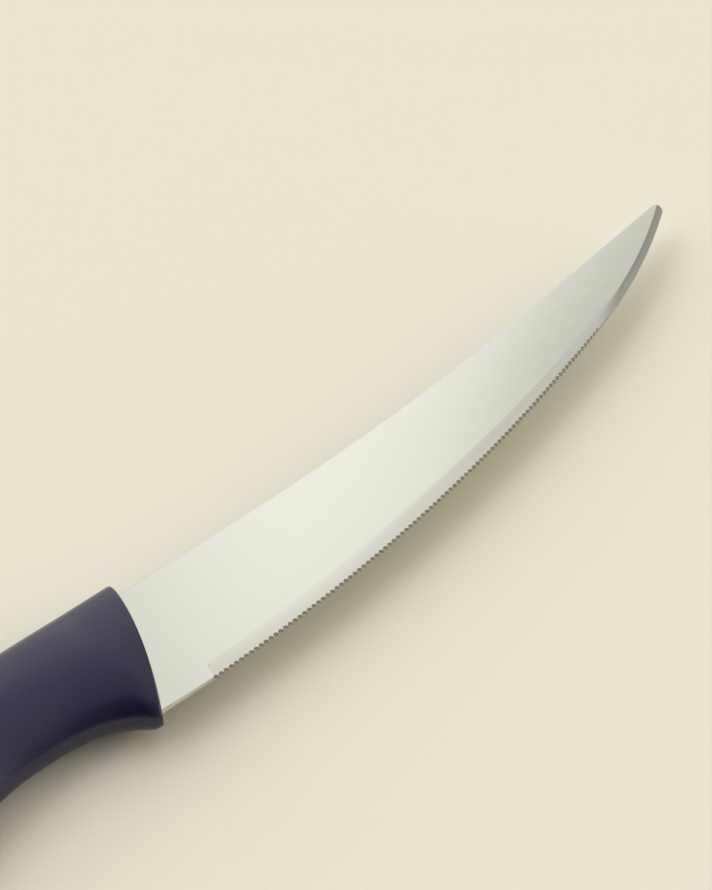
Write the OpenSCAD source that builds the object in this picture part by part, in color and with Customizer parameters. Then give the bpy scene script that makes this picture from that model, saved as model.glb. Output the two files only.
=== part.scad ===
// Steak knife: a stamped and toothed steel blade whose hidden tang is held in a one-piece moulded handle.
// The knife lies on its side, as on a table: X runs to the tip, Y to the spine and Z up.
// Every shape is drawn from the heel, where the edge leaves the handle, in the middle of the steel.
// The last step sets the knife on the table, with the origin under the middle of the handle.

/* [Blade] */
// Length of the blade from the heel to the tip
blade_length = 125.5; // [110:0.1:150]
// Width of the blade at the heel
heel_width = 20.8; // [19:0.1:23]
// Thickness of the steel sheet
blade_thickness = 1.3; // [1:0.1:2]
// Straight stretch of the edge next to the heel
edge_straight = 4.8; // [2:0.1:8]
// Angle through which the long curve of the toothed edge turns
edge_turn = 18.9; // [16:0.1:20]
// Length of the belly, which turns the edge up to the tip
belly_length = 22.6; // [18:0.1:28]
// Straight stretch of the spine next to the handle
spine_straight = 30.3; // [20:0.1:40]
// Angle through which the curve of the spine sweeps up
spine_turn = 8.05; // [6:0.05:10]
// Straight stretch of the spine behind the tip
tip_straight = 30.7; // [24:0.1:40]
// Radius of the rounded tip
tip_radius = 1.05; // [0.7:0.05:1.8]

/* [Grind] */
// Distance from the heel at which the shallow grind starts
grind_start = 9.7; // [8:0.1:14]
// Width of the shallow grind above the teeth
grind_width = 2.4; // [1.5:0.1:3.5]
// Thickness of the steel at the toothed edge
tooth_thickness = 0.7; // [0.5:0.05:0.9]
// Width of the plain bevel along the belly and the tip
bevel_width = 1; // [0.8:0.1:2]
// Thickness of the steel at the plain edge
edge_thickness = 0.3; // [0.2:0.05:0.45]

/* [Teeth] */
// Distance from one gullet to the next
tooth_pitch = 0.95; // [0.9:0.01:1.4]
// Depth of the gullets between the teeth
tooth_depth = 0.35; // [0.25:0.01:0.4]
// Radius of the gullets
gullet_radius = 0.4; // [0.35:0.01:0.43]
// Distance along the edge from the heel to the first gullet
teeth_start = 9.9; // [9:0.1:20]
// Plain stretch of edge between the last gullet and the belly
teeth_run_out = 2.5; // [1:0.5:10]

/* [Tang] */
// Length of the tang behind the heel
tang_length = 85; // [75:1:92]
// Width of the tang where it leaves the shoulders
tang_width = 10.5; // [9:0.1:12]
// Width of the tang at its end
tang_end_width = 7.5; // [6.5:0.1:9]
// Height of the tang's lower side above the edge
tang_rise = 6.6; // [6:0.1:8]
// Distance from the heel to the tang's own straight sides
shoulder_depth = 8; // [6:0.5:10]
// Depth of the full-width heel in the handle, along the edge
heel_inset = 1.3; // [0.8:0.1:1.8]
// Depth of the full-width heel in the handle, along the spine
spine_inset = 4; // [2:0.1:6]
// Diameter of the holes that the handle's plastic fills
tang_hole_d = 5; // [4:0.1:5.5]
// Distance from the heel to the first hole
first_hole = 28; // [20:1:35]
// Distance from the first hole to the second
hole_spacing = 38; // [30:1:42]

/* [Handle] */
// Length of the handle behind the heel
handle_length = 105; // [102:1:120]
// Thickness of the handle across its two flat cheeks
handle_thickness = 11.2; // [10:0.1:16]
// Height that the flat cheeks take off the rounded section, on each side
cheek_flat = 0.1; // [0.05:0.01:0.3]
// Squareness of the rounded section, where 2 is an ellipse
section_power = 2; // [1.8:0.1:3]
// Distance by which the handle's back stands above the spine
back_step = 2.2; // [1:0.05:3]
// Length behind the heel over which the handle's back runs straight
back_straight = 8; // [5:1:50]
// Drop of the handle's back at the butt
back_drop = 5.4; // [1:0.1:7]
// Drop of the finger guard below the edge
guard_drop = 1.4; // [0.7:0.05:2]
// Length of the finger guard behind the heel
guard_length = 1.7; // [1:0.1:3]
// Distance from the heel to the deepest point of the finger recess
recess_reach = 19.2; // [15:0.1:24]
// Height of the finger recess above the edge
recess_rise = 3.7; // [2:0.1:4.5]
// Distance from the heel to the fullest point of the palm swell
palm_reach = 51; // [44:0.5:60]
// Drop of the palm swell below the edge
palm_drop = 2.9; // [0:0.1:4]
// Distance from the heel to the waist in front of the butt
waist_reach = 78; // [70:1:84]
// Drop of the waist below the edge
waist_drop = 0.7; // [0:0.1:2]
// Distance from the heel to the lowest point of the butt hook
hook_reach = 96; // [90:1:100]
// Drop of the butt hook below the edge
hook_drop = 4; // [2:0.1:6]
// Length of the rounded butt
butt_round = 8; // [6:0.5:12]
// Squareness of the rounded butt, where 2 is an ellipse
butt_power = 3; // [2:0.1:4]
// Height of the butt's last point above the edge
butt_rise = 7.5; // [5:0.5:11]
// Distance from the heel to the front of the handle at the spine
front_reach = 6.8; // [3:0.1:9]
// Radius of the bowed front of the handle
front_radius = 100; // [60:1:150]

/* [Fit] */
// Gap that the shrinking plastic leaves round the tang
tang_gap = 0.05; // [0.02:0.01:0.1]
// Depth of the plastic plugs in the handle at each end
plug_root = 1; // [0.5:0.1:2]

/* [Hidden] */
$fn = 64;
// Reach of a cutting shape past the surface that it cuts
over = 0.5;
// Steps along one curved stretch of the blade's outline
arc_steps = 24;
// Points round one section of the handle, and sections along its guard, grip and butt
section_sides = 36;
guard_sections = 16;
grip_sections = 18;
butt_sections = 8;
// Steepness of the rise from the guard into the finger recess
guard_ease = 3.5;
// Share of the full section that is left flat at the end of the butt
butt_end_share = 0.3;

// Points and arcs, with angles in degrees
function on_arc(centre, r, a) = centre + r * [cos(a), sin(a)];
function arc(centre, r, from, to) =
    [for (i = [0 : arc_steps]) on_arc(centre, r, from + (to - from) * i / arc_steps)];
function turn(run, r) = run / r * 180 / PI;
function blend(share) = (1 - cos(180 * share)) / 2;
function share_of(v, from, to) = min(max((v - from) / (to - from), 0), 1);

// Long curve of the edge
belly_start = blade_length - belly_length;
edge_radius = (belly_start - edge_straight) / sin(edge_turn);
edge_centre = [edge_straight, edge_radius];
belly_angle = edge_turn - 90;
belly_point = on_arc(edge_centre, edge_radius, belly_angle);
belly_normal = (edge_centre - belly_point) / edge_radius;

// Spine: straight, swept up, straight again
sweep_end = blade_length - tip_straight;
spine_radius = (sweep_end - spine_straight) / sin(spine_turn);
spine_centre = [spine_straight, heel_width + spine_radius];
sweep_point = on_arc(spine_centre, spine_radius, spine_turn - 90);
spine_line = [cos(spine_turn), sin(spine_turn)];
spine_normal = [-sin(spine_turn), cos(spine_turn)];

// Rounded tip, which touches the spine's line and reaches the blade's length
tip_x = blade_length - tip_radius;
tip_run = (tip_x + tip_radius * spine_normal.x - sweep_point.x) / spine_line.x;
tip_centre = sweep_point + tip_run * spine_line - tip_radius * spine_normal;

// Belly: one arc that carries on the long curve and runs into the rounded tip
tip_from_belly = tip_centre - belly_point;
tip_lift = tip_from_belly * belly_normal - tip_radius;
belly_radius = (tip_from_belly * tip_from_belly - pow(tip_radius, 2)) / (2 * tip_lift);
belly_centre = belly_point + belly_radius * belly_normal;
tip_angle = atan2(tip_centre.y - belly_centre.y, tip_centre.x - belly_centre.x);

// Row of gullets along the long curve
edge_run = edge_straight + edge_radius * edge_turn * PI / 180;
toothed_run = edge_run - teeth_run_out - teeth_start;
gullets = floor(toothed_run / tooth_pitch);

// Bowed front of the handle, through the heel and through the spine
front_chord = norm([front_reach, heel_width]);
front_sink = sqrt(pow(front_radius, 2) - pow(front_chord / 2, 2));
front_centre = [front_reach, heel_width] / 2 + front_sink / front_chord * [-heel_width, front_reach];

// Length of skin and slot ahead of the bowed front, which cuts them off
front_overrun = 2;

// Half of the handle's section before the cheeks are cut flat
section_half = handle_thickness / 2 + cheek_flat;
hole_height = tang_rise + tang_width / 2;
slot_thickness = blade_thickness + 2 * tang_gap;

// The butt rounds off from butt_start: how far a shrinking section lies along it, and its inverse
butt_start = butt_round - handle_length;
function drawn(v) = pow(1 - pow(v, butt_power), 1 / butt_power);
function butt_share(x) = drawn(share_of(x, butt_start, -handle_length));
function butt_place(share) = butt_start - butt_round * drawn(share);

// Handle's back, as a height above the edge
function back_line(x) =
    heel_width + back_step - back_drop * pow(share_of(-x, back_straight, handle_length), 2);

// Handle's belly: guard, finger recess, palm swell, waist and butt hook
function recess_share(x) = 1 - pow(1 - share_of(-x, guard_length, recess_reach), guard_ease);
function belly_line(x) =
    -guard_drop
    + (recess_rise + guard_drop) * recess_share(x)
    - (recess_rise + palm_drop) * blend(share_of(-x, recess_reach, palm_reach))
    + (palm_drop - waist_drop) * blend(share_of(-x, palm_reach, waist_reach))
    - (hook_drop - waist_drop) * blend(share_of(-x, waist_reach, hook_reach));

// One section of the handle, as a ring of points
function rounded(v) = sign(v) * pow(abs(v), 2 / section_power);
function drawn_in(y, share) = butt_rise + (y - butt_rise) * share;
function section(x) =
    let (share = butt_share(x))
    let (high = drawn_in(back_line(x), share))
    let (low = drawn_in(belly_line(x), share))
    [for (i = [0 : section_sides - 1]) let (a = 360 * i / section_sides)
        [x, (high + low) / 2 + (high - low) / 2 * rounded(cos(a)), section_half * share * rounded(sin(a))]];

// Places of the sections: close together at the guard and the butt, wide apart along the grip
function spread(from, to, steps) = [for (i = [1 : steps]) from + (to - from) * i / steps];
guard_places = spread(0, -recess_reach, guard_sections);
grip_places = spread(-recess_reach, butt_start, grip_sections);
butt_places = [for (share = spread(1, butt_end_share, butt_sections)) butt_place(share)];
places = concat([front_reach + front_overrun, 0], guard_places, grip_places, butt_places);

// Middle of the handle, which comes to lie over the origin
middle_x = -handle_length / 2;
middle_y = (back_line(middle_x) + belly_line(middle_x)) / 2;

// Sets a piece on the table
module placed() {
    translate([-middle_x, -middle_y, handle_thickness / 2]) children();
}

// Part of the blade that the handle holds, from the spine round the tang to the heel
function insert_points(gap) = [
    [front_reach - spine_inset - gap, heel_width + gap],
    [-shoulder_depth - gap, tang_rise + tang_width + gap],
    [-tang_length - gap, hole_height + tang_end_width / 2 + gap],
    [-tang_length - gap, hole_height - tang_end_width / 2 - gap],
    [-shoulder_depth - gap, tang_rise - gap],
    [-heel_inset - gap, -gap],
];

module blade_outline() {
    polygon(concat(
        [[0, 0]],
        arc(edge_centre, edge_radius, -90, belly_angle),
        arc(belly_centre, belly_radius, belly_angle, tip_angle),
        arc(tip_centre, tip_radius, tip_angle, spine_turn + 90),
        arc(spine_centre, spine_radius, spine_turn - 90, -90),
        insert_points(0)
    ));
}

// Wedge turned about the centre of an arc, which thins both faces of the steel towards the edge
module arc_grind(centre, r, from, to, width, left) {
    slope = (blade_thickness - left) / 2 / width;
    top = blade_thickness / 2 + over * slope;
    for (side = [0, 1])
        translate([centre.x, centre.y, 0])
        mirror([0, 0, side])
        rotate([0, 0, from])
        rotate_extrude(angle = to - from, $fn = 720)
        polygon([[r - width - over, top], [r + over, left / 2 - over * slope], [r + over, top]]);
}

module gullet_row() {
    for (i = [0 : gullets]) {
        a = turn(teeth_start - edge_straight + i * tooth_pitch, edge_radius) - 90;
        p = on_arc(edge_centre, edge_radius + gullet_radius - tooth_depth, a);
        translate([p.x, p.y, 0])
        cylinder(r = gullet_radius, h = blade_thickness + 2 * over, center = true, $fn = 24);
    }
}

// Rods at the tang's two holes: the holes themselves, or the plastic plugs in them
module tang_rods(d, h) {
    for (i = [0, 1])
        translate([-first_hole - i * hole_spacing, hole_height, 0])
        cylinder(d = d, h = h, center = true);
}

module blade() {
    grind_angle = turn(grind_start - edge_straight, edge_radius) - 90;
    grind_end = belly_angle + turn(over, edge_radius);
    bevel_end = tip_angle + turn(2 * tip_radius, belly_radius);
    color("#c8c9c4")
    placed()
    difference() {
        linear_extrude(height = blade_thickness, center = true) blade_outline();
        arc_grind(edge_centre, edge_radius, grind_angle, grind_end, grind_width, tooth_thickness);
        arc_grind(belly_centre, belly_radius, belly_angle, bevel_end, bevel_width, edge_thickness);
        gullet_row();
        tang_rods(tang_hole_d, blade_thickness + 2 * over);
    }
}

// Sections joined into one closed skin
module handle_skin() {
    n = section_sides;
    last = len(places) - 1;
    points = [for (x = places) each section(x)];
    sides = [for (k = [0 : last - 1]) for (i = [0 : n - 1])
        let (a = k * n + i, b = k * n + (i + 1) % n) each [[a, b, a + n], [b, b + n, a + n]]];
    front = [for (i = [n - 1 : -1 : 0]) i];
    butt = [for (i = [0 : n - 1]) last * n + i];
    polyhedron(points, concat(sides, [front, butt]));
}

module handle() {
    long = 2 * (handle_length + blade_length);
    color("#2c2a38")
    placed()
    union() {
        difference() {
            intersection() {
                handle_skin();
                cube([long, long, handle_thickness], center = true);
                translate([front_centre.x, front_centre.y, 0])
                cylinder(r = front_radius, h = handle_thickness + 2 * over, center = true, $fn = 360);
            }
            linear_extrude(height = slot_thickness, center = true)
            polygon(concat(
                [[front_reach + front_overrun, -tang_gap], [front_reach + front_overrun, heel_width + tang_gap]],
                insert_points(tang_gap)
            ));
        }
        tang_rods(tang_hole_d - 2 * tang_gap, slot_thickness + 2 * plug_root);
    }
}

blade();
handle();
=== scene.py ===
# %% [markdown]
# A steak knife on a table
#
# The knife has two pieces: a steel blade, with a tang hidden in the handle, and a plastic handle moulded
# round that tang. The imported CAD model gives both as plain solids. This lesson dresses them: it makes a
# finer blade and a finer handle in the same place, gives each a finish, and lights them.

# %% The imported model
import math

import bmesh
import bpy
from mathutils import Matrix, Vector


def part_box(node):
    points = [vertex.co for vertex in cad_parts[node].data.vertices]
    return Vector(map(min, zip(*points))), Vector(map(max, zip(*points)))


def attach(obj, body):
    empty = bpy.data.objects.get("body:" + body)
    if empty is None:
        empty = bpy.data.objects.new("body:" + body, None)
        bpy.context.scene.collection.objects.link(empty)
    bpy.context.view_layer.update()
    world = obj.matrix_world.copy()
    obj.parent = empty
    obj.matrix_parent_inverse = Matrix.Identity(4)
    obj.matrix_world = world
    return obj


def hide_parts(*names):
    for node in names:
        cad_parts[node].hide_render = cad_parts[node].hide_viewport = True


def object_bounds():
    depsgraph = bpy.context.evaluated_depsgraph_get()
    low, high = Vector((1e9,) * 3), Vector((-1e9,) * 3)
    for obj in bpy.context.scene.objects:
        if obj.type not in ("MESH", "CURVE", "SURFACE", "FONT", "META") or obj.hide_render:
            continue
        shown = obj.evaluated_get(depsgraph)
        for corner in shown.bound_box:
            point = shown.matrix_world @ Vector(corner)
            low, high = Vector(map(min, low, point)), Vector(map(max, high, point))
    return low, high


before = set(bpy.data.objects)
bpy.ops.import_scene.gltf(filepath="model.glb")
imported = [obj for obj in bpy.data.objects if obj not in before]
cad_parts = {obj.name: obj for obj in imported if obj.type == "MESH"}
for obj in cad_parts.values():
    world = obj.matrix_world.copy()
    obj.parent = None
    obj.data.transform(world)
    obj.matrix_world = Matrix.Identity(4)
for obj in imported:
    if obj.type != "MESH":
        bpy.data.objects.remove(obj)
cad_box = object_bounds()
print("CAD nodes:", sorted(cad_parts))

# %% [markdown]
# Where the pieces are
#
# Every shape of the knife is drawn from its heel, the point where the cutting edge leaves the handle, in
# the middle of the steel and in millimetres. X runs to the tip, Y to the spine and Z up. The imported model
# says where the heel is: the blade's box ends at the tip, and its lowest Y is the edge at the heel.

# %% The heel
MM = 0.001
BLADE_LENGTH = 125.5
blade_low, blade_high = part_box("blade")
heel = Vector((blade_high.x - BLADE_LENGTH * MM, blade_low.y, (blade_low.z + blade_high.z) / 2))
print("heel at", [round(v / MM, 2) for v in heel], "mm")


def from_heel(x, y, z):
    """A point given in millimetres from the heel, in the model's own metres."""
    return heel + Vector((x, y, z)) * MM


# %% [markdown]
# The camera
#
# The photograph looks down on the blade from behind the handle, with a long lens. Its place was worked out
# from the knife itself: the teeth are evenly spaced, so their spacing in the picture gives the distance and
# the tilt. The sensor width belongs to the long side of the picture, which is 890 pixels high here.

# %% Camera
FOCAL_PIXELS = 2800
LONG_SIDE_PIXELS = 890
TILT_DOWN = math.radians(50.3)
HEADING = math.radians(50.58)
CAMERA_PLACE = (-122.96, -193.6, 334.87)
SENSOR = 36

camera_data = bpy.data.cameras.new("camera")
camera_data.sensor_width = SENSOR
camera_data.lens = FOCAL_PIXELS / LONG_SIDE_PIXELS * SENSOR
camera = bpy.data.objects.new("camera", camera_data)
camera.location = from_heel(*CAMERA_PLACE)
level = Vector((math.cos(HEADING), math.sin(HEADING), 0)) * math.cos(TILT_DOWN)
looking = level - Vector((0, 0, math.sin(TILT_DOWN)))
camera.rotation_euler = looking.to_track_quat("-Z", "Y").to_euler()
bpy.context.scene.collection.objects.link(camera)
bpy.context.scene.camera = camera
print("lens", round(camera_data.lens, 1), "mm")

# %% [markdown]
# Node trees
#
# Finishes and rule-made shapes are both trees of nodes. One small function adds a node, sets its properties
# and fills its inputs with numbers or with the outputs of other nodes. A second one turns the colours that
# people write, as hex values, into the linear light that a renderer works in.

# %% Helpers for node trees


def add(tree, kind, inputs=(), **settings):
    """Adds a node. Inputs are a list in the node's own order, or a dict by the input's name or number."""
    made = tree.nodes.new(kind)
    for name, value in settings.items():
        setattr(made, name, value)
    for key, value in inputs.items() if isinstance(inputs, dict) else enumerate(inputs):
        if isinstance(value, bpy.types.Node):
            value = next(socket for socket in value.outputs if socket.enabled)
        if isinstance(value, bpy.types.NodeSocket):
            tree.links.new(value, made.inputs[key])
        else:
            made.inputs[key].default_value = value
    return made


def linear(hex_colour):
    """The linear colour, with alpha, of an sRGB hex value such as #804020."""
    parts = [int(hex_colour[i : i + 2], 16) / 255 for i in (1, 3, 5)]
    return [p / 12.92 if p <= 0.04045 else ((p + 0.055) / 1.055) ** 2.4 for p in parts] + [1.0]


def add_rule(tree, given, steps):
    """Adds one node for each step of a formula, and returns all its values by name."""
    values = dict(given)
    for name, operation, *terms in steps:
        terms = [values.get(term, term) for term in terms]
        if operation in ("LINEAR", "SMOOTHSTEP"):
            made = add(tree, "ShaderNodeMapRange", terms, interpolation_type=operation)
        else:
            made = add(tree, "ShaderNodeMath", terms, operation=operation)
        values[name] = made
    return values


def new_finish(name):
    """An empty material and the tree that its nodes go in."""
    finish = bpy.data.materials.new(name)
    finish.use_nodes = True
    finish.node_tree.nodes.clear()
    return finish, finish.node_tree


print("half grey, #808080, is", round(linear("#808080")[0], 3), "in linear light")

# %% [markdown]
# Light
#
# Steel shows whatever it faces, so a knife is lit by large plain surfaces. Lamps would leave spots on the
# blade, so here the light is a world that is painted by direction. A bright window side lies behind the
# spine, and the flat of the blade shows its straight edge as a soft change of tone. Past that edge is a
# room, which darkens past the tip, towards the camera, to the left and near the floor. A large diffuser
# behind the spine throws the shadow forwards, a nearly white fill past the tip lightens that shadow, and a
# dark screen in front keeps the navy of the handle's belly deep.
#
# In each pair of pairs, the first is a stretch of X, Y or Z, and the second is the light, or the share of it
# that is left, at its two ends. An edge says how closely a direction has to point along an aim, as a cosine,
# for that surface to start and to be whole.

# %% Light
WINDOW_SIDE = Vector((-0.297, 0.866, -0.333)).normalized()
WINDOW_EDGE = (0.0113, 0.0482)
WINDOW_LIGHT = 1.42
ROOM_LIGHT = ((-0.9, 0.1), (0.84, 1.26))
ROOM_SHADE = ((0.4, 0.485), (1.0, 0.68))
ROOM_FAR = ((0.53, 0.75), (1.0, 0.5))
ROOM_LOW = ((0.0, 0.5), (0.5, 1.0))
FADE = ((0.22, 0.38), (0.53, 1.0))
LEFT = ((-0.5, -0.1), (0.2, 1.0))
DIFFUSER_AIM = Vector((-0.55, 0.7, 0.45)).normalized()
DIFFUSER_EDGE = (0.6, 0.88)
DIFFUSER_LIGHT = 1.8
FILL_AIM = Vector((0.86, -0.48, 0.16)).normalized()
FILL_EDGE = (0.86, 0.96)
FILL_LIGHT = 4.2
SCREEN_AIM = Vector((-0.32, -0.85, 0.42)).normalized()
SCREEN_EDGE = (0.75, 0.91)
SCREEN_LIGHT = 0.4

world = bpy.data.worlds.new("studio")
world.use_nodes = True
world.node_tree.nodes.clear()
bpy.context.scene.world = world
tree = world.node_tree
facing = add(tree, "ShaderNodeTexCoord").outputs["Generated"]
way = add(tree, "ShaderNodeSeparateXYZ", [facing]).outputs
given = {"x": way["X"], "y": way["Y"], "z": way["Z"]}
aims = {"side": WINDOW_SIDE, "lamp": DIFFUSER_AIM, "wall": FILL_AIM, "screen": SCREEN_AIM}
for name, aim in aims.items():
    given[name] = add(tree, "ShaderNodeVectorMath", [facing, aim], operation="DOT_PRODUCT").outputs["Value"]
values = add_rule(
    tree,
    given,
    [
        ("window", "SMOOTHSTEP", "side", *WINDOW_EDGE),
        ("depth", "LINEAR", "y", *ROOM_LIGHT[0], *ROOM_LIGHT[1]),
        ("shade", "SMOOTHSTEP", "x", *ROOM_SHADE[0], *ROOM_SHADE[1]),
        ("far", "LINEAR", "x", *ROOM_FAR[0], *ROOM_FAR[1]),
        ("low", "LINEAR", "z", *ROOM_LOW[0], *ROOM_LOW[1]),
        ("shaded", "MULTIPLY", "depth", "shade"),
        ("dim", "MULTIPLY", "far", "low"),
        ("room", "MULTIPLY", "shaded", "dim"),
        ("more", "SUBTRACT", WINDOW_LIGHT, "room"),
        ("open", "MULTIPLY_ADD", "window", "more", "room"),
        ("fade", "SMOOTHSTEP", "x", *FADE[0], *FADE[1]),
        ("left", "SMOOTHSTEP", "x", *LEFT[0], *LEFT[1]),
        ("faded", "MULTIPLY", "fade", "left"),
        ("diffuser", "SMOOTHSTEP", "lamp", *DIFFUSER_EDGE, 0, DIFFUSER_LIGHT),
        ("lit", "MULTIPLY_ADD", "open", "faded", "diffuser"),
        ("screened", "SMOOTHSTEP", "screen", *SCREEN_EDGE, 1, SCREEN_LIGHT),
        ("bright", "MULTIPLY", "lit", "screened"),
        ("fill", "SMOOTHSTEP", "wall", *FILL_EDGE, 0, FILL_LIGHT),
    ],
)
sky = add(tree, "ShaderNodeBackground", {"Color": linear("#ffffff"), "Strength": values["bright"]})
fill = add(tree, "ShaderNodeBackground", {"Color": linear("#fff0de"), "Strength": values["fill"]})
sky = add(tree, "ShaderNodeAddShader", [sky, fill])
add(tree, "ShaderNodeOutputWorld", [sky])
bpy.context.scene.view_settings.view_transform = "Standard"
print("world:", len(tree.nodes), "nodes")

# %% [markdown]
# Table
#
# The table is a plain sheet in a matt, pale paint, which shows the shadow and nothing else. It lies at the
# lowest height of the imported model, which is the handle's lower cheek, so that the knife rests on it. It
# belongs to the picture and not to the knife.

# %% Table
TABLE_REACH = 3

table_finish, tree = new_finish("pale_table")
paint = add(tree, "ShaderNodeBsdfPrincipled", {"Base Color": linear("#e8e4d2"), "Roughness": 0.9})
add(tree, "ShaderNodeOutputMaterial", [paint])

table_mesh = bpy.data.meshes.new("table")
shape = bmesh.new()
bmesh.ops.create_grid(shape, x_segments=1, y_segments=1, size=TABLE_REACH)
shape.to_mesh(table_mesh)
shape.free()
table_mesh.materials.append(table_finish)
table = bpy.data.objects.new("table", table_mesh)
bpy.context.scene.collection.objects.link(table)
table.location.z = cad_box[0].z
print("table at z", round(table.location.z / MM, 3), "mm")

# %% [markdown]
# Finish of the blade
#
# The blade is stamped from rolled stainless sheet. Its flats are polished to a fine satin, whose lines run
# along the blade and only soften what it mirrors. The strip above the teeth and the bevel at the tip were
# ground later, so they are a little duller, with lines across the edge. The gullets are painted a darker
# grey, as painted shade, so they read as a row of dark dots. The real lines are a few hundredths of a
# millimetre apart, which is too fine to show here, so they are drawn coarser. The attribute "ground" says
# which finish a face has: 0 on the flats, up to 0.5 on ground strips and on the sides of the sheet, and 1 in
# the gullets, which also sets their painted shade.

# %% Stainless steel
POLISH_LINE = 0.15
POLISH_RUN = 12
GRIND_LINE = 0.12
GRIND_RUN = 3
GRIND_LEAN = math.radians(-12)
FLAT_ROUGHNESS = 0.09
GULLET_ROUGHNESS = 0.34
UNEVEN = 0.015
NOISE_RANGE = (0.3, 0.7)
STRIP = 0.5

steel, tree = new_finish("stainless_steel_satin")
place = add(tree, "ShaderNodeTexCoord")
ground = add(tree, "ShaderNodeAttribute", attribute_name="ground")
scale = [1 / (size * MM) for size in (POLISH_RUN, POLISH_LINE, POLISH_LINE)]
along = add(tree, "ShaderNodeMapping", {"Vector": place.outputs["Object"], "Scale": scale})
polish = add(tree, "ShaderNodeTexNoise", {"Vector": along, "Scale": 1.0, "Detail": 2.0})
scale = [1 / (size * MM) for size in (GRIND_LINE, GRIND_RUN, GRIND_RUN)]
leaning = {"Vector": place.outputs["Object"], "Rotation": (0, 0, GRIND_LEAN), "Scale": scale}
across = add(tree, "ShaderNodeMapping", leaning)
grind = add(tree, "ShaderNodeTexNoise", {"Vector": across, "Scale": 1.0, "Detail": 2.0})
both = {0: ground.outputs["Fac"], 2: polish.outputs["Fac"], 3: grind.outputs["Fac"]}
lines = add(tree, "ShaderNodeMix", both)
dull = add(tree, "ShaderNodeMapRange", [ground.outputs["Fac"], 0, 1, FLAT_ROUGHNESS, GULLET_ROUGHNESS])
uneven = add(tree, "ShaderNodeMapRange", [lines, *NOISE_RANGE, -UNEVEN, UNEVEN])
roughness = add(tree, "ShaderNodeMath", [dull, uneven], operation="ADD")
tone = {0: ground.outputs["Fac"], 6: linear("#cbcbc0"), 7: linear("#d2cdc4")}
colour = add(tree, "ShaderNodeMix", tone, data_type="RGBA")
# Painted shade: where ground is 1, in the gullets, the tone is darkened to #aea79f to stand in for the shade
# they mirror.
painted_gullet_shade = add(tree, "ShaderNodeMapRange", [ground.outputs["Fac"], STRIP, 1, 0, 1])
tone = {0: painted_gullet_shade, 6: colour, 7: linear("#aea79f")}
colour = add(tree, "ShaderNodeMix", tone, data_type="RGBA")
bump = add(tree, "ShaderNodeBump", {"Strength": 0.06, "Distance": 0.02 * MM, "Height": lines})
metal = add(
    tree,
    "ShaderNodeBsdfPrincipled",
    {"Base Color": colour, "Metallic": 1.0, "Roughness": roughness, "Normal": bump},
)
add(tree, "ShaderNodeOutputMaterial", [metal])
print(steel.name + ":", len(tree.nodes), "nodes")

# %% [markdown]
# Finish of the handle
#
# The handle is injection-moulded polypropylene, in a navy so dark that it reads as black. The mould was
# spark eroded, so the skin has a fine grain that turns its gloss into a grey veil. The real grain is a few
# hundredths of a millimetre across, which a picture of this size can't show, so it is drawn several times
# coarser.

# %% Polypropylene
GRAIN = 0.25
FLOW = 9
SKIN_ROUGHNESS = (0.2, 0.32)

plastic, tree = new_finish("polypropylene_moulded")
place = add(tree, "ShaderNodeTexCoord").outputs["Object"]
grain = add(tree, "ShaderNodeTexNoise", {"Vector": place, "Scale": 1 / (GRAIN * MM), "Detail": 2.0})
flow = add(tree, "ShaderNodeTexNoise", {"Vector": place, "Scale": 1 / (FLOW * MM), "Detail": 3.0})
tone = {0: flow.outputs["Fac"], 6: linear("#161434"), 7: linear("#1a183a")}
colour = add(tree, "ShaderNodeMix", tone, data_type="RGBA")
roughness = add(tree, "ShaderNodeMapRange", [grain.outputs["Fac"], *NOISE_RANGE, *SKIN_ROUGHNESS])
bump = add(tree, "ShaderNodeBump", {"Strength": 0.2, "Distance": 0.02 * MM, "Height": grain.outputs["Fac"]})
skin = add(
    tree,
    "ShaderNodeBsdfPrincipled",
    {"Base Color": colour, "Roughness": roughness, "IOR": 1.49, "Normal": bump},
)
add(tree, "ShaderNodeOutputMaterial", [skin])
print(plastic.name + ":", len(tree.nodes), "nodes")

# %% [markdown]
# Outline of the blade
#
# The edge runs straight for a moment, then along one long curve that carries the teeth, and then up a
# tighter belly into the rounded tip. The spine is straight, sweeps up, and is straight again. Each curve
# touches the next one, so the arcs' centres follow from a few lengths and angles, as on a drawing for a
# stamping tool.

# %% Curves of the blade
EDGE_STRAIGHT = 4.8
EDGE_TURN = 18.9
BELLY_LENGTH = 22.6
HEEL_WIDTH = 20.8
SPINE_STRAIGHT = 30.3
SPINE_TURN = 8.05
TIP_STRAIGHT = 30.7
TIP_RADIUS = 1.05


def on_arc(centre, radius, degrees):
    """The point of an arc at an angle."""
    turn = math.radians(degrees)
    return centre + radius * Vector((math.cos(turn), math.sin(turn)))


edge_radius = (BLADE_LENGTH - BELLY_LENGTH - EDGE_STRAIGHT) / math.sin(math.radians(EDGE_TURN))
edge_centre = Vector((EDGE_STRAIGHT, edge_radius))
edge_run = EDGE_STRAIGHT + edge_radius * math.radians(EDGE_TURN)
belly_point = on_arc(edge_centre, edge_radius, EDGE_TURN - 90)
belly_inward = (edge_centre - belly_point) / edge_radius

sweep_end = BLADE_LENGTH - TIP_STRAIGHT
spine_radius = (sweep_end - SPINE_STRAIGHT) / math.sin(math.radians(SPINE_TURN))
spine_centre = Vector((SPINE_STRAIGHT, HEEL_WIDTH + spine_radius))
sweep_point = on_arc(spine_centre, spine_radius, SPINE_TURN - 90)
spine_line = on_arc(Vector((0, 0)), 1, SPINE_TURN)
spine_outward = on_arc(Vector((0, 0)), 1, SPINE_TURN + 90)

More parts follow.
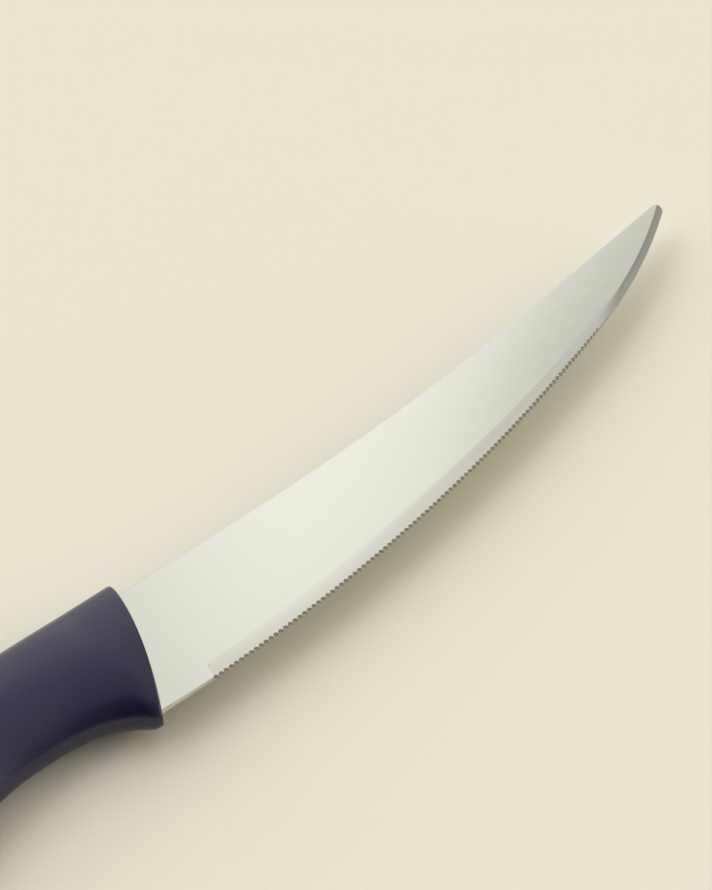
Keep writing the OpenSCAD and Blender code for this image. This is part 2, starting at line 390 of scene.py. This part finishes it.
tip_run = (BLADE_LENGTH - TIP_RADIUS + TIP_RADIUS * spine_outward.x - sweep_point.x) / spine_line.x
tip_centre = sweep_point + tip_run * spine_line - TIP_RADIUS * spine_outward
tip_way = tip_centre - belly_point
belly_radius = (tip_way.length_squared - TIP_RADIUS**2) / (2 * (tip_way @ belly_inward - TIP_RADIUS))
belly_centre = belly_point + belly_radius * belly_inward
tip_angle = math.degrees(math.atan2(*(tip_centre - belly_centre).yx))
belly_run = belly_radius * math.radians(tip_angle - EDGE_TURN + 90)
print("edge", round(edge_run, 1), "mm, belly", round(belly_run, 1), "mm")
print("belly radius", round(belly_radius, 1), "mm")

# %% [markdown]
# Blank of the blade
#
# A plate with ground edges could be cut with booleans, but their faces are hard to control. Here the plate
# is six rings of points for each face, from the border of the flat to the outline, and their heights make
# every facet. On the spine the rings make a small round. Before the teeth they make a blunt V, which catches
# the light as a pale line. On the toothed edge they make one ground strip. It starts in a short step, where
# the wheel came down, and leaves the flat in a soft line. Towards the tip the wheel tilts, so the strip gets
# narrower and steeper, and on the belly it is a bevel with a crisp border.

# %% Rings of the blade
HALF = 0.65
RINGS = 6
ROUND = 0.1
HEEL_BREAK = (0.24, 0.08)
HEEL_BLUNT = 0.1
GRIND_START = 9.7
GRIND_WIDTH = (2.4, 1.15)
GRIND_NARROWS = (45, 105)
GRIND_SLOPE = (0.125, 0.44)
GRIND_TILTS = (-4, 7)
GRIND_SOFT = (0.2, 0.9)
GRIND_CRISP = (0, 5)
RUN_IN = 1.1
STEP = 0.12
THINNEST = 0.02
TANG = [(-8, 17.1), (-85, 15.6), (-85, 8.1), (-8, 6.6), (-1.3, 0)]
SPINE_INSET = (2.8, 20.8)


def spaced(start, end, step):
    """Evenly spaced numbers from start to end, both included, about a step apart."""
    count = max(1, round(abs(end - start) / step))
    return [start + (end - start) * i / count for i in range(count + 1)]


def edge_point(run):
    """The point of the cutting edge at a distance from the heel, measured along the edge."""
    if run < EDGE_STRAIGHT:
        return Vector((run, 0))
    if run < edge_run:
        return on_arc(edge_centre, edge_radius, math.degrees((run - EDGE_STRAIGHT) / edge_radius) - 90)
    return on_arc(belly_centre, belly_radius, EDGE_TURN - 90 + math.degrees((run - edge_run) / belly_radius))


def ease(value, start, end):
    """0 before start, 1 after end, and smooth between them."""
    t = min(max((value - start) / (end - start), 0), 1)
    return t * t * (3 - 2 * t)


def rounded_rings(point, inward):
    """The rings, as points and half thicknesses, where the edge of the sheet is only rounded."""
    turns = [math.pi / 2 * k / (RINGS - 1) for k in range(RINGS)]
    return [(point + inward * ROUND * (1 - math.sin(a)), HALF - ROUND * (1 - math.cos(a))) for a in turns]


def broken_rings(point, inward, depth):
    """The rings before the teeth, where the edge of the sheet is broken into a blunt, bulging V."""
    shares = [k / (RINGS - 1) for k in range(RINGS)]
    return [(point + inward * depth * (1 - s) ** 2, HALF * (1 - (1 - HEEL_BLUNT) * s)) for s in shares]


def between(ends, share):
    """The value at a share of the way from the first of two ends to the second."""
    return ends[0] + (ends[1] - ends[0]) * share


def ring_ways(width, step):
    """The rings' distances from the outline, for a strip of a width that starts with a short step."""
    inner = max(width - step, width / 2)
    return [width] + [inner * (1 - k / (RINGS - 2)) for k in range(RINGS - 2)] + [0]


def ground_rings(point, inward, run):
    """The rings along the ground edge, at a distance from the heel along the edge."""
    past = run - edge_run
    slope = between(GRIND_SLOPE, ease(past, *GRIND_TILTS))
    soft = between(GRIND_SOFT, ease(run, GRIND_START, edge_run)) * (1 - ease(past, *GRIND_CRISP)) + THINNEST
    whole = between(GRIND_WIDTH, ease(run, *GRIND_NARROWS)) + soft / 2
    came_in = min((run - GRIND_START) / RUN_IN, 1)
    width = max(whole * math.sqrt(1 - (1 - came_in) ** 2), RINGS * THINNEST)
    made = [(point + inward * width, HALF)]
    for way in ring_ways(width, max(STEP, soft / 3))[1:]:
        under = whole - way
        drop = under * under / (2 * soft) if under < soft else under - soft / 2
        made.append((point + inward * way, HALF - slope * drop))
    return made


def tip_rings(point, inward):
    """The rings round the tip, where the bevel runs out across the rounded corner."""
    outward = point - belly_centre
    ground = outward.length - belly_radius + GRIND_WIDTH[1]
    if ground < ROUND:
        return rounded_rings(point, inward)
    outward.normalize()
    ways = ring_ways(ground, STEP)
    return [(point - outward * way, HALF - (ground - way) * GRIND_SLOPE[1]) for way in ways]


print("sheet", 2 * HALF, "mm thick, strip", GRIND_WIDTH[0], "mm wide at first")

# %% [markdown]
# Stations of the blade
#
# The outline is walked once round: along the edge, round the tip, back along the spine and round the tang.
# Each of its points is a station that gets its six ring points. The stations lie closer where the outline
# bends more and where the grind starts.

# %% Stations of the blade
runs = spaced(0, GRIND_START - THINNEST, step=1)
runs += spaced(GRIND_START, GRIND_START + RUN_IN, step=0.07)
runs += spaced(GRIND_START + RUN_IN, edge_run + belly_run, step=0.5)[1:]
edge = [(edge_point(run), run) for run in runs]
tip_turns = spaced(tip_angle, SPINE_TURN + 90, step=6)[1:]
tip = [(on_arc(tip_centre, TIP_RADIUS, a), None) for a in tip_turns]
spine_turns = spaced(SPINE_TURN, 0, step=0.25)
sweep = [(on_arc(spine_centre, spine_radius, a - 90), None) for a in spine_turns]
tang = [(Vector(p), None) for p in [SPINE_INSET, *TANG]]
outline = edge + tip + sweep + tang

stations = []
for i, (point, run) in enumerate(outline):
    ahead, behind = outline[(i + 1) % len(outline)][0], outline[i - 1][0]
    inward = Vector(((behind - ahead).y, (ahead - behind).x)).normalized()
    if len(edge) <= i < len(edge) + len(tip):
        stations.append(tip_rings(point, inward))
    elif run is not None and run >= GRIND_START:
        stations.append(ground_rings(point, inward, run))
    elif run is not None:
        stations.append(broken_rings(point, inward, between(HEEL_BREAK, run / GRIND_START)))
    else:
        stations.append(rounded_rings(point, inward))
rings = [[(*station[k][0], station[k][1]) for station in stations] for k in range(RINGS)]
print("stations round the blade:", len(stations))

# %% [markdown]
# From rings to a plate
#
# One function closes such rings into a solid plate: it joins each ring to the next, mirrors them for the
# lower face, and fills both flats round the holes. It makes the blank of the blade, and later also the slot
# that the blade leaves in the handle.

# %% Plate
FIRST_HOLE = (-28, 11.85)
HOLE_SPACING = 38
HOLE_RADIUS = 2.5
HOLE_SIDES = 48


def hole_rings(radius):
    """Points round the two holes of the tang."""
    turns = [2 * math.pi * i / HOLE_SIDES for i in range(HOLE_SIDES)]
    x, y = FIRST_HOLE
    middles = [x - k * HOLE_SPACING for k in (0, 1)]
    return [[(m + radius * math.cos(a), y + radius * math.sin(a)) for a in turns] for m in middles]


def plate(name, rings, holes):
    """A closed plate with holes, from rings on its upper side, the first of them round the flat."""
    shape = bmesh.new()
    upper = [[shape.verts.new(from_heel(x, y, z)) for x, y, z in ring] for ring in rings]
    lower = [[shape.verts.new(from_heel(x, y, -z)) for x, y, z in ring] for ring in rings]
    half = rings[0][0][2]
    hole_tops = [[shape.verts.new(from_heel(x, y, half)) for x, y in hole] for hole in holes]
    hole_ends = [[shape.verts.new(from_heel(x, y, -half)) for x, y in hole] for hole in holes]
    stacks = [upper + lower[::-1]] + [[top, end] for top, end in zip(hole_tops, hole_ends)]
    for stack in stacks:
        for here, there in zip(stack, stack[1:]):
            for i in range(len(here)):
                shape.faces.new((here[i - 1], here[i], there[i], there[i - 1]))
    for loops in ([upper[0], *hole_tops], [lower[0], *hole_ends]):
        borders = [shape.edges.get((loop[i - 1], loop[i])) for loop in loops for i in range(len(loop))]
        bmesh.ops.triangle_fill(shape, use_beauty=True, edges=borders)
    bmesh.ops.recalc_face_normals(shape, faces=shape.faces)
    mesh = bpy.data.meshes.new(name)
    shape.to_mesh(mesh)
    shape.free()
    piece = bpy.data.objects.new(name, mesh)
    bpy.context.scene.collection.objects.link(piece)
    return piece


blade = plate("blade_steel_piece", rings, hole_rings(HOLE_RADIUS))
print("blank:", len(blade.data.polygons), "faces")

# %% [markdown]
# Teeth
#
# A grinding wheel cuts the teeth as a row of small round gullets along the long curve. What repeats at a
# fixed step along a path is work for Geometry Nodes: a row of points on the edge, one cutter on each point,
# and one boolean that takes them all out of the blank. The last gullets are shallower, where the wheel lifts
# off.

# %% Tree of the gullets
GULLETS = {
    "Count": ("NodeSocketInt", 96),
    "Pitch": ("NodeSocketFloat", 0.95),
    "First": ("NodeSocketFloat", 9.9 - EDGE_STRAIGHT),
    "Gullet radius": ("NodeSocketFloat", 0.4),
    "Gullet depth": ("NodeSocketFloat", 0.35),
    "Run out": ("NodeSocketFloat", 10.0),
    "Last lift": ("NodeSocketFloat", 0.5),
    "Edge radius": ("NodeSocketFloat", edge_radius),
    "Edge centre": ("NodeSocketVector", (*edge_centre, 0)),
    "Heel": ("NodeSocketVector", heel),
    "Steel": ("NodeSocketMaterial", steel),
}
GULLET_SIDES = 20


def new_tree(name, sizes):
    """A Geometry Nodes tree with named inputs, as a tree, its input node and the inputs' identifiers."""
    tree = bpy.data.node_groups.new(name, "GeometryNodeTree")
    tree.interface.new_socket("Geometry", in_out="INPUT", socket_type="NodeSocketGeometry")
    tree.interface.new_socket("Geometry", in_out="OUTPUT", socket_type="NodeSocketGeometry")
    identifiers = {}
    for size, (kind, _) in sizes.items():
        socket = tree.interface.new_socket(size, in_out="INPUT", socket_type=kind)
        identifiers[size] = socket.identifier
    return tree, add(tree, "NodeGroupInput"), identifiers


def made_by(tree, identifiers, sizes, piece):
    """Runs a tree on a piece and keeps the result as the piece's plain mesh."""
    modifier = piece.modifiers.new(tree.name, "NODES")
    modifier.node_group = tree
    for name, (_, value) in sizes.items():
        modifier[identifiers[name]] = value
    return plain(piece)


def plain(piece):
    """Replaces a piece's mesh by what its modifiers make of it."""
    result = piece.evaluated_get(bpy.context.evaluated_depsgraph_get())
    mesh = bpy.data.meshes.new_from_object(result)
    mesh.name = piece.name
    piece.modifiers.clear()
    piece.data = mesh
    return piece


tree, given, identifiers = new_tree("gullet_row", GULLETS)
index = add(tree, "GeometryNodeInputIndex")
centre = add(tree, "ShaderNodeSeparateXYZ", [given.outputs["Edge centre"]])
values = {n: given.outputs[n] for n in GULLETS}
values |= {"index": index, "x0": centre.outputs["X"], "y0": centre.outputs["Y"]}
values = add_rule(
    tree,
    values,
    [
        ("run", "MULTIPLY_ADD", "index", "Pitch", "First"),
        ("angle", "DIVIDE", "run", "Edge radius"),
        ("last", "SUBTRACT", "Count", "Run out"),
        ("lift", "LINEAR", "index", "last", "Count", 0, "Last lift"),
        ("lifted", "MULTIPLY", "lift", "Gullet depth"),
        ("depth", "SUBTRACT", "Gullet depth", "lifted"),
        ("out", "SUBTRACT", "Gullet radius", "depth"),
        ("radius", "ADD", "Edge radius", "out"),
        ("sine", "SINE", "angle"),
        ("cosine", "COSINE", "angle"),
        ("x", "MULTIPLY_ADD", "radius", "sine", "x0"),
        ("drop", "MULTIPLY", "radius", "cosine"),
        ("y", "SUBTRACT", "y0", "drop"),
    ],
)
spot = add(tree, "ShaderNodeCombineXYZ", [values["x"], values["y"], 0.0])
placed = [spot, (MM, MM, MM), given.outputs["Heel"]]
spot = add(tree, "ShaderNodeVectorMath", placed, operation="MULTIPLY_ADD")
row = add(tree, "GeometryNodePoints", {"Count": given.outputs["Count"], "Position": spot})
size = add(tree, "ShaderNodeMath", [given.outputs["Gullet radius"], MM], operation="MULTIPLY")
round_cut = {"Vertices": GULLET_SIDES, "Radius": size, "Depth": 4 * HALF * MM}
cutter = add(tree, "GeometryNodeMeshCylinder", round_cut)
cutters = add(tree, "GeometryNodeInstanceOnPoints", {"Points": row, "Instance": cutter})
cutters = add(tree, "GeometryNodeRealizeInstances", [cutters])
cut = {"Mesh 1": given.outputs["Geometry"], "Mesh 2": cutters}
toothed = add(tree, "GeometryNodeMeshBoolean", cut, operation="DIFFERENCE", solver="EXACT")
toothed = add(tree, "GeometryNodeRealizeInstances", [toothed])
toothed = add(tree, "GeometryNodeSetMaterial", {"Geometry": toothed, "Material": given.outputs["Steel"]})
add(tree, "NodeGroupOutput", [toothed])
made_by(tree, identifiers, GULLETS, blade)
print("toothed blade:", len(blade.data.polygons), "faces")

# %% [markdown]
# Which faces are ground
#
# The finish has to know how each face was made. Separate materials would give hard borders, so every corner
# of every face gets a number in an attribute, which the finish reads. A face that isn't flat gets more of it
# the deeper it lies under the flat, and the gullet walls get the most, which also paints them darker as
# painted shade. Small steps on a round are shaded smooth, and the flats' borders stay crisp.

# %% Which faces are ground
FLAT_ENOUGH = 0.99999
SIDE = 0.5
DULLEST = 0.4
GULLET_WALL_FROM = 9.5
GULLET_WALL_DEPTH = (0.02, 0.4)
SMOOTH_ANGLE = math.radians(20)

flag = blade.data.attributes.new("ground", "FLOAT", "CORNER")
for face in blade.data.polygons:
    rise = abs(face.normal.z)
    spot = ((face.center - heel) / MM).xy
    inside = edge_radius - (spot - edge_centre).length
    # The gullet walls get 1, which makes them the roughest and paints them darker as painted shade.
    painted_gullet_shade = 1 if spot.x > GULLET_WALL_FROM and GULLET_WALL_DEPTH[0] < inside < GULLET_WALL_DEPTH[1] else STRIP
    for corner in face.loop_indices:
        point = blade.data.vertices[blade.data.loops[corner].vertex_index].co
        below = HALF - abs(point.z - heel.z) / MM
        sloped = min(STRIP, max(below, 1 - rise) / DULLEST)
        flag.data[corner].value = 0 if rise > FLAT_ENOUGH else sloped if rise > SIDE else painted_gullet_shade

flag_values = [corner.value for corner in flag.data]
shape = bmesh.new()
shape.from_mesh(blade.data)
for edge in shape.edges:
    flats = [abs(face.normal.z) > FLAT_ENOUGH for face in edge.link_faces]
    edge.smooth = all(flats) or not any(flats) and edge.calc_face_angle(0) < SMOOTH_ANGLE
for face in shape.faces:
    face.smooth = True
shape.to_mesh(blade.data)
shape.free()
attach(blade, "root")
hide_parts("blade")
print("corners in the gullets:", flag_values.count(1))

# %% [markdown]
# Handle
#
# The handle is one smooth body whose outline follows a rule: the back runs straight and then falls away, and
# the belly goes from a small guard up into a finger recess, down over the palm swell, up to a waist and down
# to a hook at the butt. A tree of nodes bends a flat grid into it. One side of the grid runs from the middle
# of the front face over the rounded rim and along the skin to the butt, and the other side runs round.

# %% Sizes of the handle
FRONT_REACH = 6.8
FRONT_RADIUS = 100
chord = Vector((FRONT_REACH, HEEL_WIDTH))
sink = math.sqrt(FRONT_RADIUS**2 - (chord.length / 2) ** 2)
front_centre = chord / 2 + Vector((-chord.y, chord.x)) / chord.length * sink

HANDLE = {
    "Length": 105,
    "Thickness": 11.2,
    "Section power": 2.0,
    "Back": 23,
    "Back straight": 8,
    "Back drop": 5.4,
    "Guard drop": 1.4,
    "Guard length": 1.7,
    "Guard corner": 0.6,
    "Guard ease": 3.5,
    "Recess reach": 19.2,
    "Recess rise": 3.7,
    "Palm reach": 51,
    "Palm drop": 2.9,
    "Waist reach": 78,
    "Waist drop": 0.7,
    "Hook reach": 96,
    "Hook drop": 4.0,
    "Butt round": 8,
    "Butt power": 3,
    "Butt rise": 7.5,
    "Front x": front_centre.x,
    "Front y": front_centre.y,
    "Front radius": FRONT_RADIUS,
    "Rim": 0.8,
    "Cheek rim": 0.3,
    "Lip": 0.12,
}
HANDLE = {name: ("NodeSocketFloat", float(size)) for name, size in HANDLE.items()}
HANDLE |= {"Heel": ("NodeSocketVector", heel), "Plastic": ("NodeSocketMaterial", plastic)}
print("front face turns about", [round(v, 1) for v in front_centre], "mm")

# %% [markdown]
# Rows and sides of the handle
#
# A formula is easier to read in small named steps than as one long line, and here each step becomes one
# node. The first steps say where a point of the grid lies: how far along each stretch, how far over the rim,
# and how far round. The rim is rounder on the back and the belly than on the cheeks, and it is sharpest
# under the blade.

# %% Rows and sides of the handle
SIDES = 96
CAP, RIM, GUARD, GRIP, BUTT = 6, 14, 46, 90, 106
QUARTER = math.pi / 2
LIP_FROM = (-0.93, -0.995)
CHEEK_FROM = (0.15, 0.5)
GUARD_CROWDING = 1.5
BUTT_FLAT = 0.99

tree, given, identifiers = new_tree("handle_skin", HANDLE)
sheet = add(tree, "GeometryNodeMeshGrid", [1.0, 1.0, BUTT + 1, SIDES + 1])
position = add(tree, "ShaderNodeSeparateXYZ", [add(tree, "GeometryNodeInputPosition")])
values = {n: given.outputs[n] for n in HANDLE}
values |= {"px": position.outputs["X"], "py": position.outputs["Y"]}

stages = [
    ("u", "ADD", "px", 0.5),
    ("v", "ADD", "py", 0.5),
    ("row", "MULTIPLY", "u", BUTT),
    ("cap", "LINEAR", "row", 0, CAP),
    ("rim", "LINEAR", "row", CAP, RIM),
    ("guard", "LINEAR", "row", RIM, GUARD),
    ("grip", "LINEAR", "row", GUARD, GRIP),
    ("butt", "LINEAR", "row", GRIP, BUTT),
]
rim = [
    ("rim turn", "MULTIPLY", "rim", QUARTER),
    ("rim sine", "SINE", "rim turn"),
    ("rim cosine", "COSINE", "rim turn"),
    ("rim in", "SUBTRACT", 1, "rim sine"),
    ("lip way", "SMOOTHSTEP", "cosine", *LIP_FROM),
    ("rim way", "SMOOTHSTEP", "sine size", *CHEEK_FROM),
    ("rim lost", "SUBTRACT", "Rim", "Cheek rim"),
    ("rim cut", "MULTIPLY", "rim way", "rim lost"),
    ("rim left", "SUBTRACT", "Rim", "rim cut"),
    ("lip lost", "SUBTRACT", "rim left", "Lip"),
    ("lip cut", "MULTIPLY", "lip way", "lip lost"),
    ("rim size", "SUBTRACT", "rim left", "lip cut"),
    ("inset", "MULTIPLY", "rim in", "rim size"),
    ("rim behind", "SUBTRACT", 1, "rim cosine"),
    ("set back", "MULTIPLY", "rim behind", "rim size"),
]
lengthwise = [
    ("butt turn", "MULTIPLY", "butt", QUARTER),
    ("butt sine", "SINE", "butt turn"),
    ("butt cosine", "COSINE", "butt turn"),
    ("butt left", "MAXIMUM", "butt cosine", 0),
    ("butt bend", "DIVIDE", 2, "Butt power"),
    ("butt way", "POWER", "butt sine", "butt bend"),
    ("butt flat", "MINIMUM", "butt way", BUTT_FLAT),
    ("share", "POWER", "butt left", "butt bend"),
    ("guard way", "POWER", "guard", GUARD_CROWDING),
    ("guard run", "SUBTRACT", "Recess reach", "rim size"),
    ("grip end", "SUBTRACT", "Length", "Butt round"),
    ("grip run", "SUBTRACT", "grip end", "Recess reach"),
    ("behind rim", "MULTIPLY_ADD", "guard way", "guard run", "set back"),
    ("behind guard", "MULTIPLY_ADD", "grip", "grip run", "behind rim"),
    ("behind", "MULTIPLY_ADD", "butt flat", "Butt round", "behind guard"),
]
around = [
    ("turn", "MULTIPLY", "v", 2 * math.pi),
    ("cosine", "COSINE", "turn"),
    ("sine", "SINE", "turn"),
    ("bend", "DIVIDE", 2, "Section power"),
    ("cosine size", "ABSOLUTE", "cosine"),
    ("cosine drawn", "POWER", "cosine size", "bend"),
    ("cosine sign", "SIGN", "cosine"),
    ("high share", "MULTIPLY", "cosine drawn", "cosine sign"),
    ("sine size", "ABSOLUTE", "sine"),
    ("sine drawn", "POWER", "sine size", "bend"),
    ("sine sign", "SIGN", "sine"),
    ("side share", "MULTIPLY", "sine drawn", "sine sign"),
]
print("grid:", BUTT + 1, "rows of", SIDES + 1, "points")

# %% [markdown]
# Outline of the handle
#
# The next steps are the outline itself. The front face is part of a large circle, which the rim follows. The
# back falls as the square of the way along it. The belly starts at the guard and adds one soft rise or fall
# for the recess, the palm swell, the waist and the hook. The section is drawn between back and belly.

# %% Outline of the handle
front = [
    ("front tall", "ADD", "Back", "Guard drop"),
    ("front half", "MULTIPLY", "front tall", 0.5),
    ("front mid", "SUBTRACT", "Back", "front half"),
    ("front in", "SUBTRACT", "front half", "inset"),
    ("front size", "MULTIPLY", "front in", "cap"),
    ("front y", "MULTIPLY_ADD", "front size", "high share", "front mid"),
    ("front off", "SUBTRACT", "front y", "Front y"),
    ("front square", "MULTIPLY", "front off", "front off"),
    ("radius square", "MULTIPLY", "Front radius", "Front radius"),
    ("front rest", "SUBTRACT", "radius square", "front square"),
    ("front root", "SQRT", "front rest"),
    ("front x", "ADD", "front root", "Front x"),
    ("front share", "SUBTRACT", 1, "guard way"),
    ("front part", "MULTIPLY", "front share", "front x"),
    ("x", "SUBTRACT", "front part", "behind"),
    ("reach", "SUBTRACT", "behind", "front part"),
]
back_and_belly = [
    ("back way", "LINEAR", "reach", "Back straight", "Length"),
    ("back square", "MULTIPLY", "back way", "back way"),
    ("back fall", "MULTIPLY", "back square", "Back drop"),
    ("back", "SUBTRACT", "Back", "back fall"),
    ("past guard", "SUBTRACT", "reach", "Guard length"),
    ("past square", "MULTIPLY", "past guard", "past guard"),
    ("corner square", "MULTIPLY_ADD", "Guard corner", "Guard corner", "past square"),
    ("corner root", "SQRT", "corner square"),
    ("past twice", "ADD", "past guard", "corner root"),
    ("past soft", "MULTIPLY", "past twice", 0.5),
    ("recess run", "SUBTRACT", "Recess reach", "Guard length"),
    ("recess left", "LINEAR", "past soft", 0, "recess run", 1, 0),
    ("recess drawn", "POWER", "recess left", "Guard ease"),
    ("recess way", "SUBTRACT", 1, "recess drawn"),
    ("recess rise", "ADD", "Recess rise", "Guard drop"),
    ("palm way", "SMOOTHSTEP", "reach", "Recess reach", "Palm reach"),
    ("palm fall", "ADD", "Recess rise", "Palm drop"),
    ("waist way", "SMOOTHSTEP", "reach", "Palm reach", "Waist reach"),
    ("waist rise", "SUBTRACT", "Palm drop", "Waist drop"),
    ("hook way", "SMOOTHSTEP", "reach", "Waist reach", "Hook reach"),
    ("hook fall", "SUBTRACT", "Hook drop", "Waist drop"),
    ("belly 0", "MULTIPLY", "Guard drop", -1),
    ("belly 1", "MULTIPLY_ADD", "recess way", "recess rise", "belly 0"),
    ("palm down", "MULTIPLY", "palm way", "palm fall"),
    ("belly 2", "SUBTRACT", "belly 1", "palm down"),
    ("belly 3", "MULTIPLY_ADD", "waist way", "waist rise", "belly 2"),
    ("hook down", "MULTIPLY", "hook way", "hook fall"),
    ("belly", "SUBTRACT", "belly 3", "hook down"),
]
section = [
    ("high off", "SUBTRACT", "back", "Butt rise"),
    ("high", "MULTIPLY_ADD", "high off", "share", "Butt rise"),
    ("low off", "SUBTRACT", "belly", "Butt rise"),
    ("low", "MULTIPLY_ADD", "low off", "share", "Butt rise"),
    ("tall", "SUBTRACT", "high", "low"),
    ("half tall", "MULTIPLY", "tall", 0.5),
    ("mid", "SUBTRACT", "high", "half tall"),
    ("half in", "SUBTRACT", "half tall", "inset"),
    ("half drawn", "MULTIPLY", "half in", "cap"),
    ("y", "MULTIPLY_ADD", "half drawn", "high share", "mid"),
    ("half thick", "MULTIPLY", "Thickness", 0.5),
    ("thick in", "SUBTRACT", "half thick", "inset"),
    ("thick cap", "MULTIPLY", "thick in", "cap"),
    ("thick drawn", "MULTIPLY", "thick cap", "share"),
    ("z", "MULTIPLY", "thick drawn", "side share"),
]
formula = stages + around + rim + lengthwise + front + back_and_belly + section
print("steps of the formula:", len(formula))

# %% [markdown]
# Skin of the handle
#
# The formula moves the grid's points, and points that meet at the seam, the front and the butt are merged,
# so the skin is closed.

# %% Skin of the handle
SEAM = 0.01

values = add_rule(tree, values, formula)
spot = add(tree, "ShaderNodeCombineXYZ", [values["x"], values["y"], values["z"]])
placed = [spot, (MM, MM, MM), given.outputs["Heel"]]
spot = add(tree, "ShaderNodeVectorMath", placed, operation="MULTIPLY_ADD")
bent = add(tree, "GeometryNodeSetPosition", {"Geometry": sheet, "Position": spot})
closed = add(tree, "GeometryNodeMergeByDistance", {"Geometry": bent, "Distance": SEAM * MM})
whole = add(tree, "GeometryNodeRealizeInstances", [closed])
whole = add(tree, "GeometryNodeSetMaterial", {"Geometry": whole, "Material": given.outputs["Plastic"]})
add(tree, "NodeGroupOutput", [whole])

handle = bpy.data.objects.new("handle_plastic_piece", bpy.data.meshes.new("handle_plastic_piece"))
bpy.context.scene.collection.objects.link(handle)
made_by(tree, identifiers, HANDLE, handle)
shape = bmesh.new()
shape.from_mesh(handle.data)
bmesh.ops.recalc_face_normals(shape, faces=shape.faces)
shape.to_mesh(handle.data)
shape.free()
print("handle:", len(handle.data.polygons), "faces")

# %% [markdown]
# Slot for the tang
#
# The plastic shrinks on the tang as it sets, and leaves a gap of a few hundredths of a millimetre round it.
# The slot is the same plate as the tang, a gap larger, and its holes are a gap smaller, so that two plugs of
# plastic stay standing in the tang's holes. A boolean takes it out of the handle.

# %% Slot
GAP = 0.05
PAST_FRONT = 9
SHARP_ANGLE = math.radians(40)

middle = FIRST_HOLE[1]
corners = [(x - GAP, (y + GAP) if y > middle else (y - GAP)) for x, y in [SPINE_INSET, *TANG]]
mouth = [(PAST_FRONT, -GAP), (PAST_FRONT, HEEL_WIDTH + GAP)]
around_tang = [corners[-1], *mouth, *corners[:-1]]
slot = plate("slot", [[(x, y, HALF + GAP) for x, y in around_tang]], hole_rings(HOLE_RADIUS - GAP))
cut = handle.modifiers.new("slot", "BOOLEAN")
cut.object = slot
cut.solver = "EXACT"
plain(handle)
bpy.data.objects.remove(slot)
handle.data.shade_smooth()
handle.data.set_sharp_from_angle(angle=SHARP_ANGLE)
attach(handle, "root")
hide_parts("handle")
print("handle with its slot:", len(handle.data.polygons), "faces")
